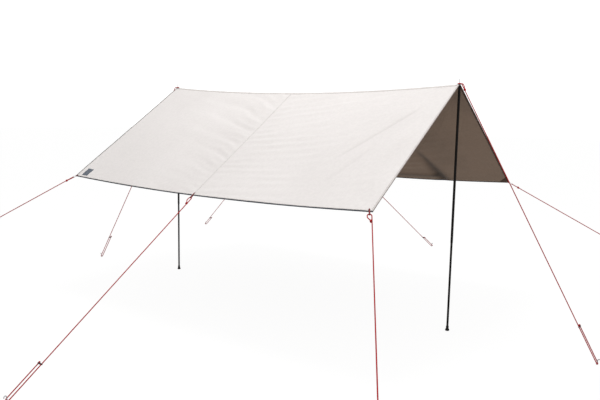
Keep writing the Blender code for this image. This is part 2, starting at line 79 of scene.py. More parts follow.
MID_REAR_OUT_Y = 1.965
NEAR_RIDGE_OUT_X = 1.250
FAR_RIDGE_OUT_X = 1.240
FAR_RIDGE_OUT_Y = -0.205
SLOPE_LENGTH = math.hypot(HALF_SPAN, RIDGE_HEIGHT - EAVE_HEIGHT)
ROOF_ANGLE = math.atan2(RIDGE_HEIGHT - EAVE_HEIGHT, HALF_SPAN)


def link(made):
    bpy.context.scene.collection.objects.link(made)
    return made


# ---------------------------------------------------------------- camera
CAMERA_SPOT = (4.0012, -5.2599, 1.8981)
CAMERA_YAW = -0.6415
CAMERA_PITCH = 0.1330
CAMERA_ROLL = 0.0187
SENSOR_WIDTH = 36.0
CAMERA_LENS = 38.619348


def add_camera():
    data = bpy.data.cameras.new("photo_camera")
    data.sensor_width = SENSOR_WIDTH
    data.lens = CAMERA_LENS
    data.clip_end = 200.0
    made = link(bpy.data.objects.new("photo_camera", data))
    ahead = Vector((math.cos(CAMERA_PITCH) * math.sin(CAMERA_YAW),
                    math.cos(CAMERA_PITCH) * math.cos(CAMERA_YAW), -math.sin(CAMERA_PITCH)))
    level = Vector((math.cos(CAMERA_YAW), -math.sin(CAMERA_YAW), 0.0))
    up = level.cross(ahead)
    right = level * math.cos(CAMERA_ROLL) + up * math.sin(CAMERA_ROLL)
    top = up * math.cos(CAMERA_ROLL) - level * math.sin(CAMERA_ROLL)
    turn = Matrix((right, top, -ahead)).transposed()
    made.matrix_world = Matrix.Translation(CAMERA_SPOT) @ turn.to_4x4()
    bpy.context.scene.camera = made


add_camera()


# ---------------------------------------------------------------- materials
class Paint:
    """One procedural material: a Principled shader fed by node patterns in object coordinates."""

    def __init__(self, name, roughness=0.5, metallic=0.0, specular=0.5, sheen=0.0, coat=0.0):
        self.made = bpy.data.materials.new(name)
        self.made.use_nodes = True
        self.nodes = self.made.node_tree.nodes
        self.links = self.made.node_tree.links
        self.shader = self.nodes["Principled BSDF"]
        self.shader.inputs["Roughness"].default_value = roughness
        self.shader.inputs["Metallic"].default_value = metallic
        self.shader.inputs["Specular IOR Level"].default_value = specular
        self.shader.inputs["Sheen Weight"].default_value = sheen
        self.shader.inputs["Coat Weight"].default_value = coat
        self.place = self.nodes.new("ShaderNodeTexCoord").outputs["Object"]
        self.heights = []

    def node(self, kind, **settings):
        made = self.nodes.new(kind)
        for key, value in settings.items():
            if hasattr(made, key):
                setattr(made, key, value)
            else:
                made.inputs[key.replace("_", " ")].default_value = value
        return made

    def stretched(self, scale):
        mapping = self.node("ShaderNodeMapping")
        mapping.inputs["Scale"].default_value = scale
        self.links.new(self.place, mapping.inputs["Vector"])
        return mapping.outputs["Vector"]

    def cloud(self, scale, detail=4.0, stretch=(1, 1, 1)):
        made = self.node("ShaderNodeTexNoise", Scale=scale, Detail=detail)
        self.links.new(self.stretched(stretch), made.inputs["Vector"])
        return made.outputs["Fac"]

    def bands(self, axis, period, distortion=0.0):
        made = self.node("ShaderNodeTexWave", bands_direction=axis, Distortion=distortion)
        made.inputs["Scale"].default_value = math.tau / (20.0 * period)
        self.links.new(self.place, made.inputs["Vector"])
        return made.outputs["Fac"]

    def attribute(self, name):
        return self.node("ShaderNodeAttribute", attribute_name=name).outputs["Fac"]

    def ramp(self, value, low, high, start=0.35, stop=0.65):
        made = self.node("ShaderNodeValToRGB")
        made.color_ramp.elements[0].position = start
        made.color_ramp.elements[0].color = (*low, 1.0)
        made.color_ramp.elements[1].position = stop
        made.color_ramp.elements[1].color = (*high, 1.0)
        self.links.new(value, made.inputs["Fac"])
        return made.outputs["Color"]

    def mixed(self, factor, first, second, blend="MIX"):
        made = self.node("ShaderNodeMixRGB", blend_type=blend)
        for socket, value in zip(made.inputs, (factor, first, second)):
            if isinstance(value, (float, int)):
                socket.default_value = value
            elif isinstance(value, tuple):
                socket.default_value = (*value, 1.0)
            else:
                self.links.new(value, socket)
        return made.outputs["Color"]

    def colour(self, socket):
        self.links.new(socket, self.shader.inputs["Base Color"])

    def rough(self, value, low, high):
        made = self.node("ShaderNodeMapRange")
        made.inputs["To Min"].default_value = low
        made.inputs["To Max"].default_value = high
        self.links.new(value, made.inputs["Value"])
        self.links.new(made.outputs["Result"], self.shader.inputs["Roughness"])

    def bump(self, value, distance, strength=1.0):
        made = self.node("ShaderNodeBump")
        made.inputs["Strength"].default_value = strength
        made.inputs["Distance"].default_value = distance
        self.links.new(value, made.inputs["Height"])
        if self.heights:
            self.links.new(self.heights[-1], made.inputs["Normal"])
        self.heights.append(made.outputs["Normal"])
        self.links.new(made.outputs["Normal"], self.shader.inputs["Normal"])


def weave(paint, across, along, period, distance):
    """Threads that cross: two sets of bands, multiplied, as colour depth and as bump."""
    crossed = paint.mixed(1.0, paint.bands(across, period), paint.bands(along, period), "MULTIPLY")
    paint.bump(crossed, distance)
    return crossed


def cloth_outer():
    paint = Paint("canopy_cloth_outer", sheen=0.15, specular=0.25)
    tone = paint.ramp(paint.cloud(0.9, 3.0), (0.835, 0.800, 0.785), (0.875, 0.840, 0.825))
    # Painted shade: the crease attribute darkens the cloth's colour in the valleys of the ripples and
    # creases.
    painted_valley_shade = paint.mixed(paint.attribute("crease"), tone, (0.66, 0.62, 0.605))
    fine = paint.ramp(paint.cloud(38.0, 6.0), (0.96, 0.96, 0.96), (1.0, 1.0, 1.0))
    threads = weave(paint, "X", "Y", 0.0009, 0.00006)
    depth = paint.ramp(threads, (0.94, 0.94, 0.94), (1.0, 1.0, 1.0), 0.0, 1.0)
    paint.colour(paint.mixed(1.0, paint.mixed(1.0, painted_valley_shade, fine, "MULTIPLY"), depth, "MULTIPLY"))
    paint.rough(paint.cloud(6.0), 0.55, 0.75)
    return paint.made


def cloth_inner():
    paint = Paint("canopy_cloth_coated", sheen=0.05, specular=0.2)
    tone = paint.ramp(paint.cloud(2.2, 4.0), (0.200, 0.144, 0.107), (0.245, 0.176, 0.131))
    fine = paint.ramp(paint.cloud(60.0, 6.0), (0.90, 0.90, 0.90), (1.0, 1.0, 1.0))
    # Painted shade: the fold attribute darkens the coated side where the rear panel's slack folds look dark
    # from below.
    wear_and_painted_shade = paint.mixed(paint.attribute("fold"), tone, (0.052, 0.037, 0.028))
    weave(paint, "X", "Y", 0.0009, 0.00005)
    paint.colour(paint.mixed(1.0, wear_and_painted_shade, fine, "MULTIPLY"))
    paint.rough(paint.cloud(9.0), 0.50, 0.70)
    return paint.made


def tape(name, dark, light, period=0.0011, distance=0.00012, roughness=(0.65, 0.9)):
    """Woven tape or webbing: ribs across and along, uneven dye."""
    paint = Paint(name, sheen=0.1, specular=0.2)
    tone = paint.ramp(paint.cloud(55.0, 5.0), dark, light)
    ribs = paint.mixed(1.0, paint.bands("X", period, 1.0), paint.bands("DIAGONAL", period * 1.5), "MULTIPLY")
    shade = paint.ramp(ribs, (0.72, 0.72, 0.72), (1.0, 1.0, 1.0), 0.0, 0.7)
    paint.bump(ribs, distance)
    paint.colour(paint.mixed(1.0, tone, shade, "MULTIPLY"))
    paint.rough(paint.cloud(120.0), *roughness)
    return paint.made


def moulded(name, dark, light, roughness, specular=0.3, metallic=0.0, grain=260.0, distance=0.00004,
            scratch=0.35):
    """Moulded plastic, rubber or coated metal: slight tone shifts, fine grain, rubbed streaks."""
    paint = Paint(name, specular=specular, metallic=metallic)
    tone = paint.ramp(paint.cloud(14.0, 5.0), dark, light)
    streaks = paint.ramp(paint.cloud(30.0, 8.0, (9, 9, 0.6)), (0, 0, 0), (1, 1, 1), 0.60, 0.72)
    rubbed = tuple(min(1.0, channel * (1 + scratch) + 0.01 * scratch) for channel in light)
    wear_and_painted_shade = paint.mixed(1.0, streaks, (scratch, scratch, scratch), "MULTIPLY")
    paint.colour(paint.mixed(wear_and_painted_shade, tone, rubbed))
    paint.rough(paint.cloud(45.0, 6.0), *roughness)
    paint.bump(paint.cloud(grain, 3.0), distance)
    return paint.made


def rope_sleeve(name, dark, light, fleck):
    """A braided sleeve: two crossing diagonal bands and a few light tracer threads."""
    paint = Paint(name, sheen=0.1, specular=0.15)
    tone = paint.ramp(paint.cloud(180.0, 4.0), dark, light)
    crossed = paint.mixed(1.0, paint.bands("DIAGONAL", 0.0022, 0.5),
                          paint.bands("Z", 0.0018, 0.5), "MULTIPLY")
    traced = paint.ramp(paint.cloud(420.0, 2.0), (0, 0, 0), (1, 1, 1), 0.66, 0.70)
    paint.colour(paint.mixed(traced, paint.mixed(crossed, dark, tone), fleck))
    paint.bump(crossed, 0.0004)
    paint.rough(paint.cloud(200.0), 0.7, 0.95)
    return paint.made


OUTER = cloth_outer()
INNER = cloth_inner()
HEM_CLOTH = tape("hem_cloth", (0.78, 0.74, 0.715), (0.86, 0.82, 0.79), 0.0009, 0.00006, (0.6, 0.8))
# Hem underside: the coating's own brown, painted much darker than the sheet's coated side as painted shade;
# corner patches and the near rear gable binding use it too.
HEM_UNDER_PAINTED_SHADE = tape("hem_under_painted_shade", (0.055, 0.026, 0.015), (0.085, 0.042, 0.026), 0.0009, 0.00006)
EAVE_BINDING = tape("eave_binding", (0.035, 0.042, 0.055), (0.060, 0.070, 0.088))
PALE_BINDING = tape("pale_gable_binding", (0.28, 0.235, 0.225), (0.38, 0.325, 0.31))
GREY_BINDING = tape("grey_gable_binding", (0.080, 0.078, 0.080), (0.120, 0.116, 0.118))
SEAM_CLOTH = tape("seam_cloth", (0.84, 0.80, 0.78), (0.90, 0.86, 0.84), 0.0009, 0.00008)
THREAD = tape("pale_thread", (0.70, 0.67, 0.65), (0.80, 0.77, 0.75), 0.0007, 0.00004)
DARK_THREAD = tape("dark_thread", (0.05, 0.05, 0.06), (0.08, 0.08, 0.09), 0.0007, 0.00004)
LOOP_WEBBING = tape("loop_webbing", (0.20, 0.022, 0.026), (0.30, 0.036, 0.040), 0.0014, 0.00025)
TAB_WEBBING = tape("tab_webbing", (0.070, 0.068, 0.070), (0.110, 0.106, 0.108), 0.0014, 0.00025)
LABEL = tape("blank_label", (0.140, 0.165, 0.205), (0.185, 0.215, 0.260), 0.0008, 0.00005)
GUY_SLEEVE = rope_sleeve("red_guy", (0.42, 0.008, 0.012), (0.58, 0.012, 0.018), (0.60, 0.08, 0.08))
LOOKS = {
    "near_pole_upper_tube": moulded("black_pole", (0.006, 0.0055, 0.0052), (0.010, 0.009, 0.0085),
                                    (0.45, 0.65), 0.12),
    "far_pole_upper_tube": moulded("dark_pole", (0.022, 0.022, 0.024), (0.032, 0.032, 0.034),
                                   (0.42, 0.62), 0.2),
    "nylon": moulded("black_nylon", (0.012, 0.012, 0.013), (0.020, 0.020, 0.022), (0.40, 0.58), 0.3),
    "rubber": moulded("foot_rubber", (0.012, 0.012, 0.012), (0.022, 0.021, 0.020), (0.75, 0.95), 0.2,
                      grain=420.0, distance=0.00012),
    "pin": moulded("pin_steel", (0.48, 0.48, 0.49), (0.62, 0.62, 0.63), (0.22, 0.42), 0.5, 0.9),
    "eyelet": moulded("eyelet_steel", (0.55, 0.55, 0.55), (0.70, 0.70, 0.70), (0.25, 0.45), 0.5, 0.95),
    "runner": moulded("runner_nylon", (0.015, 0.015, 0.017), (0.030, 0.030, 0.033), (0.40, 0.60), 0.35),
    "peg": moulded("peg_steel", (0.38, 0.38, 0.40), (0.52, 0.52, 0.54), (0.30, 0.50), 0.5, 0.85,
                   grain=160.0, distance=0.00006),
}


def give_look(node, made):
    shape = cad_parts[node]
    shape.data.materials.clear()
    shape.data.materials.append(made)


# ---------------------------------------------------------------- the cloth's surface
RIDGE_ROUND = 0.004
RIPPLE_GAP = 0.222
FIRST_RIPPLE = 0.305
RIPPLE_HEIGHT = 0.0052
RIPPLE_REACH = 0.62
PUCKER_REACH = 0.050
PUCKER_GAP = 0.078
PUCKER_HEIGHT = 0.0016
THREAD_PULL_HEIGHT = 0.0014
SWELL_HEIGHT = 0.0042
DIMPLE_HEIGHT = 0.0011
STREAK_GAP = 0.094
STREAK_REACH = 1.00
STREAK_HEIGHT = 0.0032

# Creases that fan out from one spot: direction in degrees, width, height, start and end in metres.
NEAR_FAN = (
    (12, 0.030, 0.0026, 0.30, 1.80),
    (16, 0.034, 0.0036, 0.55, 1.95),
    (25, 0.050, 0.0042, 0.45, 1.95),
    (32, 0.040, 0.0026, 0.70, 1.90),
    (40, 0.044, 0.0034, 0.35, 1.45),
    (47, 0.036, 0.0018, 0.60, 1.50),
    (57.8, 0.017, -0.0052, 0.28, 1.40),
    (66.5, 0.026, -0.0030, 0.90, 1.62),
    (74, 0.030, 0.0016, 0.50, 1.55),
)
FAR_FAN = (
    (19, 0.040, 0.0018, 0.25, 1.10),
    (34, 0.050, 0.0016, 0.30, 1.25),
    (52, 0.050, -0.0016, 0.30, 1.30),
    (68, 0.040, 0.0014, 0.35, 1.40),
)
MID_LOOP_FAN = (
    (24, 0.022, 0.0016, 0.04, 0.50),
    (47, 0.026, -0.0012, 0.04, 0.50),
    (118, 0.024, 0.0012, 0.04, 0.45),
    (148, 0.026, -0.0011, 0.04, 0.50),
)
CORNER_FAN = (
    (16, 0.020, 0.0020, 0.06, 0.50),
    (38, 0.024, -0.0018, 0.06, 0.45),
    (66, 0.022, 0.0020, 0.06, 0.55),
)


def ease(value):
    value = min(max(value, 0.0), 1.0)
    return value * value * (3.0 - 2.0 * value)


def bell(offset, width):
    return math.exp(-(offset / width) ** 2)


def wander(x, along, size, seed):
    return noise.noise(Vector((x / size, along / size, seed)))


def fan(reach_x, reach_y, creases):
    """How high the creases that leave one spot stand, at reach_x and reach_y from it."""
    far = math.hypot(reach_x, reach_y)
    heading = math.atan2(reach_y, reach_x)
    height = 0.0
    for degrees, width, crest, start, stop in creases:
        apart = heading - math.radians(degrees)
        if abs(apart) > 1.2:
            continue
        hold = ease((far - start) / 0.25) * ease((stop - far) / 0.35)
        height += crest * hold * bell(far * math.sin(apart), width)
    return height


def ripples(x, along, seed):
    """Diagonal ripples that leave the centre seam and run up towards the far end."""
    off_seam = SEAM_X - x
    if off_seam <= 0.0:
        return 0.0
    climb = 0.25 * off_seam + 0.07 * (1.0 - math.exp(-off_seam / 0.2))
    place = along + climb - FIRST_RIPPLE + 0.055 * wander(x, along, 0.55, seed)
    phase = math.tau * place / RIPPLE_GAP
    shape = math.sin(phase) + 0.24 * math.sin(2 * phase)
    shape += 0.42 * math.sin(2.3 * phase + 5.0 * wander(x, along, 0.45, seed + 2.0)) * bell(off_seam, 0.45)
    reach = RIPPLE_REACH * (1.20 - 0.45 * along / SLOPE_LENGTH
                            + 0.5 * wander(0.0, along, 0.30, seed + 4.0))
    strength = (1.0 - math.exp(-off_seam / 0.05)) * bell(off_seam, reach)
    strength *= 0.80 + 0.75 * wander(x, along, 0.34, seed + 8.0)
    strength *= 1.0 - 0.35 * ease((along - 0.9) / 0.7)
    return RIPPLE_HEIGHT * strength * shape


def seam_pucker(x, along, seed):
    """Short gathers that the stitching draws up on both sides of the centre seam."""
    off_seam = abs(x - SEAM_X)
    short = wander(off_seam * 0.4, along, 0.030, seed + 12.0)
    short += 0.6 * wander(0.0, along, 0.014, seed + 13.0)
    slant = 0.32 * off_seam + 0.030 * wander(x, along, 0.25, seed + 14.0)
    gather = math.sin(math.tau * (along + slant) / PUCKER_GAP)
    gather *= 0.7 + 0.9 * wander(0.0, along, 0.12, seed + 15.0)
    gather *= math.exp(-off_seam / 0.20) * (1.0 - math.exp(-off_seam / 0.02))
    return PUCKER_HEIGHT * gather + THREAD_PULL_HEIGHT * math.exp(-off_seam / PUCKER_REACH) * short


def streaks(x, along, seed):
    """Shallow waves on the near side of the seam that draw together towards the near ridge end."""
    off_seam = x - SEAM_X
    if off_seam <= 0.0:
        return 0.0
    climb = (0.23 - 0.08 * along) * off_seam
    place = along + climb + 0.030 * wander(x * 0.5, along, 0.30, seed + 16.0)
    strength = (1.0 - math.exp(-off_seam / 0.04)) * bell(off_seam, STREAK_REACH)
    strength *= 0.75 + 1.1 * wander(x * 0.5, along, 0.20, seed + 17.0)
    return STREAK_HEIGHT * strength * math.sin(math.tau * place / STREAK_GAP)


def rear_folds(x, along):
    """Slack folds in the rear panel over the mid-eave loop, seen from below."""
    drift = 0.905 + 0.18 * (along - 1.05)
    upright = 0.016 * bell(x - drift, 0.050) * ease((along - 0.95) / 0.35)
    level = -0.012 * bell(along - 1.570, 0.030) * ease((x - 0.40) / 0.20) * ease((1.02 - x) / 0.12)
    return upright + level


def relief(x, share):
    """How far the stretched cloth stands out from its plain surface at this spot."""
    side = -1.0 if share < 0.0 else 1.0
    seed = 3.5 * side
    along = abs(share) * SLOPE_LENGTH
    to_eave = SLOPE_LENGTH - along
    height = SWELL_HEIGHT * wander(x, along, 0.80, seed) + DIMPLE_HEIGHT * wander(x, along, 0.17, seed + 1.0)
    height += ripples(x, along, seed)
    height += fan(HALF_RIDGE - x, along, NEAR_FAN) * (1.0 if side < 0 else 0.6)
    height += fan(HALF_RIDGE + x, along, FAR_FAN)
    height += fan(x - SEAM_X, to_eave, MID_LOOP_FAN)
    height += fan(HALF_RIDGE - x, to_eave, CORNER_FAN)
    height += fan(HALF_RIDGE + x, to_eave, CORNER_FAN)
    height += seam_pucker(x, along, seed) + streaks(x, along, seed)
    if side > 0.0:
        height += rear_folds(x, along)
    to_corner = math.hypot(HALF_RIDGE - abs(x), to_eave)
    return height * ease(along / 0.07) * ease(to_corner / 0.12) * ease(0.25 + to_eave / 0.05)


def plain_point(x, share):
    lift = (x / HALF_RIDGE) ** 2 - 1.0
    ridge = RIDGE_HEIGHT + RIDGE_SAG * lift
    eave = EAVE_HEIGHT + EAVE_SAG * lift
    rounded = math.sqrt(share * share + RIDGE_ROUND ** 2) - RIDGE_ROUND
    rounded /= math.sqrt(1.0 + RIDGE_ROUND ** 2) - RIDGE_ROUND
    return Vector((x, HALF_SPAN * share, ridge + (eave - ridge) * rounded))


def cloth_point(x, share, raised=0.0):
    """A spot on the cloth's upper face, creases and all; share is -1 at the front eave, +1 at the rear."""
    if raised:
        return cloth_point(x, share) + cloth_normal(x, share) * raised
    side = -1.0 if share < 0.0 else 1.0
    out = Vector((0.0, side * math.sin(ROOF_ANGLE), math.cos(ROOF_ANGLE)))
    return plain_point(x, share) + out * relief(x, share)


def cloth_normal(x, share):
    step = 0.002
    along_x = cloth_point(x + step, share) - cloth_point(x - step, share)
    along_y = cloth_point(x, share + step) - cloth_point(x, share - step)
    return along_x.cross(along_y).normalized()


# ---------------------------------------------------------------- mesh helpers
def add_mesh(name, spots, faces, mats, smooth=True):
    mesh = bpy.data.meshes.new(name)
    mesh.from_pydata([tuple(spot) for spot in spots], [], faces)
    for made in mats:
        mesh.materials.append(made)
    if smooth:
        mesh.shade_smooth()
    return link(bpy.data.objects.new(name, mesh))


def turn_outward(made):
    work = bmesh.new()
    work.from_mesh(made.data)
    bmesh.ops.recalc_face_normals(work, faces=work.faces)
    work.to_mesh(made.data)
    work.free()


def fix(made, slot, *replaced, body=ROOT):
    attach(made, body)
    if replaced:
        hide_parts(*replaced)
    return made


def solidify(made, thick, offset=-1.0, inner_slot=0):
    solid = made.modifiers.new("thickness", "SOLIDIFY")
    solid.thickness = thick
    solid.offset = offset
    solid.material_offset = inner_slot
    solid.material_offset_rim = inner_slot
    return made


def spread(low, high, count):
    return [low + (high - low) * place / (count - 1) for place in range(count)]


def grid_faces(columns, rows):
    return [(c * rows + r, (c + 1) * rows + r, (c + 1) * rows + r + 1, c * rows + r + 1)
            for c in range(columns - 1) for r in range(rows - 1)]


def cloth_patch(name, xs, shares, thick, mats, raised=0.0, inner_slot=0):
    """A piece of sheet that lies on the cloth's surface, raised above it."""
    spots = [cloth_point(x, share, raised) for x in xs for share in shares]
    made = add_mesh(name, spots, grid_faces(len(xs), len(shares)), mats)
    return solidify(made, thick, inner_slot=inner_slot)


def sweep(name, stations, section, mats, pick=None):
    """A closed section carried along stations of (spot, inward, up), with capped ends."""
    count = len(section)
    spots = [spot + inward * a + up * b for spot, inward, up in stations for a, b in section]
    faces = []
    for place in range(len(stations) - 1):
        for k in range(count):
            nxt = (k + 1) % count
            faces.append((place * count + k, place * count + nxt,
                          (place + 1) * count + nxt, (place + 1) * count + k))
    last = (len(stations) - 1) * count
    faces.append(tuple(range(count)))
    faces.append(tuple(last + k for k in range(count)))
    made = add_mesh(name, spots, faces, mats)
    if pick:
        for number, face in enumerate(made.data.polygons):
            face.material_index = pick(number % count) if number < count * (len(stations) - 1) else 0
    turn_outward(made)
    made.data.set_sharp_from_angle(angle=math.radians(50))
    return made


def flat_section(start, stop, thick, middle):
    """A flat strip's section with rounded edges, from start to stop across, middle its mid height."""
    half = thick / 2
    out = []
    for step in range(5):
        angle = -math.pi / 2 + math.pi * step / 4
        out.append((stop - half + half * math.cos(angle), middle + half * math.sin(angle)))
    for step in range(5):
        angle = math.pi / 2 + math.pi * step / 4
        out.append((start + half + half * math.cos(angle), middle + half * math.sin(angle)))
    return out


def eave_stations(side, count=141, inset=0.0):
    out = []
    for x in spread(-HALF_RIDGE + inset, HALF_RIDGE - inset, count):
        here = cloth_point(x, side)
        inward = (cloth_point(x, side * 0.985) - here).normalized()
        ahead = (cloth_point(min(x + 0.01, HALF_RIDGE), side)
                 - cloth_point(max(x - 0.01, -HALF_RIDGE), side))
        up = inward.cross(ahead).normalized()
        out.append((here, inward, up if up.z > 0 else -up))
    return out


def gable_stations(side, end, count=81, start=NOTCH_SHARE):
    out = []
    for share in spread(start, 1.0, count):
        here = cloth_point(end * HALF_RIDGE, side * share)
        inward = (cloth_point(end * (HALF_RIDGE - 0.02), side * share) - here).normalized()
        ahead = (cloth_point(end * HALF_RIDGE, side * min(share + 0.01, 1.0))
                 - cloth_point(end * HALF_RIDGE, side * max(share - 0.01, 0.0)))
        up = inward.cross(ahead).normalized()
        out.append((here, inward, up if up.z > 0 else -up))
    return out


def seam_stations(side, shift, start=0.016, count=161):
    out = []
    for share in spread(start, 0.982, count):
        here = cloth_point(SEAM_X + shift, side * share)
        inward = Vector((1.0, 0.0, 0.0))
        up = cloth_normal(SEAM_X + shift, side * share)
        out.append((here, inward, up))
    return out


STITCH_PITCH = 0.0085
STITCH_LENGTH = 0.0052
STITCH_HALF = 0.00045


def stitches(name, rows, mat, pitch=STITCH_PITCH):
    """Rows of thread: each row is (stations, how far in, how far up)."""
    spots = []
    faces = []
    for stations, inset, height in rows:
        line = [spot + inward * inset + up * height for spot, inward, up in stations]
        run = [0.0]
        for a, b in zip(line, line[1:]):
            run.append(run[-1] + (b - a).length)
        place = 0
        for number in range(int(run[-1] / pitch)):
            centre_run = (number + 0.5) * pitch
            while run[place + 1] < centre_run:
                place += 1
            part = (centre_run - run[place]) / (run[place + 1] - run[place])
            centre = line[place].lerp(line[place + 1], part)
            ahead = (line[place + 1] - line[place]).normalized()
            up = stations[place][2]
            side = ahead.cross(up).normalized()
            first = len(spots)
            for end, wide in ((-0.5, 0.45), (-0.25, 1.0), (0.25, 1.0), (0.5, 0.45)):
                middle = centre + ahead * STITCH_LENGTH * end
                for a, b in ((-1, 0), (0, 1), (1, 0), (0, -1)):
                    spots.append(middle + (side * a + up * b) * STITCH_HALF * wide)
            for ring in range(3):
                for k in range(4):
                    low = first + ring * 4
                    faces.append((low + k, low + (k + 1) % 4, low + 4 + (k + 1) % 4, low + 4 + k))
            faces.append((first, first + 1, first + 2, first + 3))
            faces.append((first + 12, first + 13, first + 14, first + 15))
    made = add_mesh(name, spots, faces, [mat])
    turn_outward(made)
    return made


# ---------------------------------------------------------------- canopy
SHEET_THICK = 0.0006
SHEET_COLUMNS = 341
SHEET_ROWS = 301
SHEET_INSET = 0.004


def crease_shade(x, share):
    """How much darker the cloth's colour is painted: painted shade in the valleys of the ripples and near
    creases, with random patches.
    """
    side = -1.0 if share < 0.0 else 1.0
    along = abs(share) * SLOPE_LENGTH
    low = -ripples(x, along, 3.5 * side) / RIPPLE_HEIGHT * 0.17
    low += -fan(HALF_RIDGE - x, along, NEAR_FAN) / 0.005 * 0.40
    low += 0.16 * wander(x, along, 0.35, 21.0 * side)
    return min(max(low, 0.0), 1.0)


def fold_shade(x, share):
    """How much darker the slack folds in the rear panel look from below."""
    along = abs(share) * SLOPE_LENGTH
    drift = 0.925 + 0.18 * (along - 1.05)
    wide = 0.040 + 0.030 * ease((along - 1.20) / 0.30)
    depth = (0.68 + 0.20 * ease((along - 1.20) / 0.30)) * ease((along - 0.95) / 0.30)
    band = depth * bell(x - drift, wide)
    level = 0.60 * bell(along - 1.590, 0.034) * ease((x - 0.35) / 0.20) * ease((1.10 - x) / 0.12)
    return min(band + level, 1.0) if share > 0 else 0.0


def in_notch(xs, shares, first, last):
    """Whether the grid cell between two corners lies in the notch that the ridge tab fills."""
    ends = [abs(xs[corner // SHEET_ROWS]) for corner in (first, last)]
    rows = [abs(shares[corner % SHEET_ROWS]) for corner in (first, last)]
    return min(ends) >= NOTCH_X and max(rows) <= NOTCH_SHARE


def add_canopy():
    xs = spread(-HALF_RIDGE + SHEET_INSET, HALF_RIDGE - SHEET_INSET, SHEET_COLUMNS)
    edge = 1.0 - SHEET_INSET / SLOPE_LENGTH
    shares = spread(-edge, edge, SHEET_ROWS)
    for place in (2, -3):
        xs[place] = math.copysign(NOTCH_X, xs[place])
    for place in (SHEET_ROWS // 2 - 1, SHEET_ROWS // 2 + 1):
        shares[place] = math.copysign(NOTCH_SHARE, shares[place])
    faces = [face for face in grid_faces(SHEET_COLUMNS, SHEET_ROWS)
             if not in_notch(xs, shares, face[0], face[2])]
    spots = [cloth_point(x, share) for x in xs for share in shares]
    made = solidify(add_mesh("canopy_sheet", spots, faces, [OUTER, INNER]), SHEET_THICK, inner_slot=1)
    # Both attributes carry painted shade into the cloth's colour.
    for name, rule in (("crease", crease_shade), ("fold", fold_shade)):
        layer = made.data.attributes.new(name, "FLOAT", "POINT")
        layer.data.foreach_set("value", [rule(x, share) for x in xs for share in shares])
    return fix(made, "canopy_cloth", "canopy_front_panel_far", "canopy_front_panel_near",
               "canopy_rear_panel_far", "canopy_rear_panel_near")


HEM_START = 0.0005
HEM_WIDTH = 0.020
HEM_THICK = 0.0026
HEM_STITCH_INSET = 0.003
GABLE_HEM_THICK = HEM_THICK + 0.0004
BINDING_WIDTH = 0.0125
BINDING_THICK = 0.0042
BINDING_STITCH_INSET = 0.002
FAR_BINDING_WIDTH = 0.0115
NEAR_BINDING_WIDTH = 0.0060
GABLE_BINDING_THICK = HEM_THICK + 0.0012
CLOTH_MIDDLE = -SHEET_THICK / 2


def under_faces(k):
    """The section's faces that look down take the second material."""
    return 1 if k in (9, 0, 8) else 0


def both_faces(stations, inset, thick):
    """Two rows of stitches at one inset, over and under a strip this thick."""
    return [(stations, inset, face * thick / 2 + CLOTH_MIDDLE) for face in (1, -1)]


def gable_binding_look(side, end):
    if end < 0:
        return FAR_BINDING_WIDTH, GREY_BINDING
    # The near rear binding takes the hem underside's brown, which holds painted shade.
    return NEAR_BINDING_WIDTH, PALE_BINDING if side < 0 else HEM_UNDER_PAINTED_SHADE


def add_hems():
    pieces = []
    stitch_in = HEM_WIDTH - HEM_STITCH_INSET
    for side, side_name in ((-1, "front"), (1, "rear")):
        stations = eave_stations(side)
        hem = sweep("eave_hem_%s_fold" % side_name, stations,
                    flat_section(HEM_START, HEM_WIDTH, HEM_THICK, CLOTH_MIDDLE),
                    [HEM_CLOTH, HEM_UNDER_PAINTED_SHADE], under_faces)
        pieces.append(fix(hem, "hem_binding", "eave_hem_%s" % side_name))
        binding = sweep("eave_binding_%s" % side_name, stations,
                        flat_section(-0.0008, BINDING_WIDTH, BINDING_THICK, CLOTH_MIDDLE), [EAVE_BINDING])
        pieces.append(fix(binding, "hem_binding"))
        rows = both_faces(stations, stitch_in, HEM_THICK)
        pieces.append(fix(stitches("eave_hem_%s_stitches" % side_name, rows, THREAD), "hem_binding"))
        rows = both_faces(stations, BINDING_WIDTH - BINDING_STITCH_INSET, BINDING_THICK)
        pieces.append(fix(stitches("eave_binding_%s_stitches" % side_name, rows, DARK_THREAD), "hem_binding"))
        for end, end_name in ((-1, "far"), (1, "near")):
            label = "%s_%s" % (side_name, end_name)
            stations = gable_stations(side, end)
            hem = sweep("gable_hem_%s_fold" % label, stations,
                        flat_section(HEM_START, HEM_WIDTH, GABLE_HEM_THICK, CLOTH_MIDDLE),
                        [HEM_CLOTH, HEM_UNDER_PAINTED_SHADE], under_faces)
            pieces.append(fix(hem, "hem_binding", "gable_hem_%s" % label))
            width, cloth = gable_binding_look(side, end)
            binding = sweep("gable_binding_%s" % label, stations,
                            flat_section(-0.0006, width, GABLE_BINDING_THICK, CLOTH_MIDDLE), [cloth])
            pieces.append(fix(binding, "hem_binding"))
            rows = both_faces(stations, stitch_in, GABLE_HEM_THICK)
            pieces.append(fix(stitches("gable_hem_%s_stitches" % label, rows, THREAD), "hem_binding"))
    return pieces


SEAM_HALF_WIDTH = 0.0075
SEAM_THICK = 0.0011
SEAM_MIDDLE = 0.0004
SEAM_STITCH_OUT = 0.0045
LIP_OUT = -0.0062
LIP_HALF_WIDTH = 0.0010
LIP_THICK = 0.0007
LIP_MIDDLE = 0.0010
RIDGE_TAPE_REACH = 0.030
RIDGE_TAPE_SHORT = 0.024
RIDGE_TAPE_THICK = 0.0007
TAPE_RAISED = 0.0009


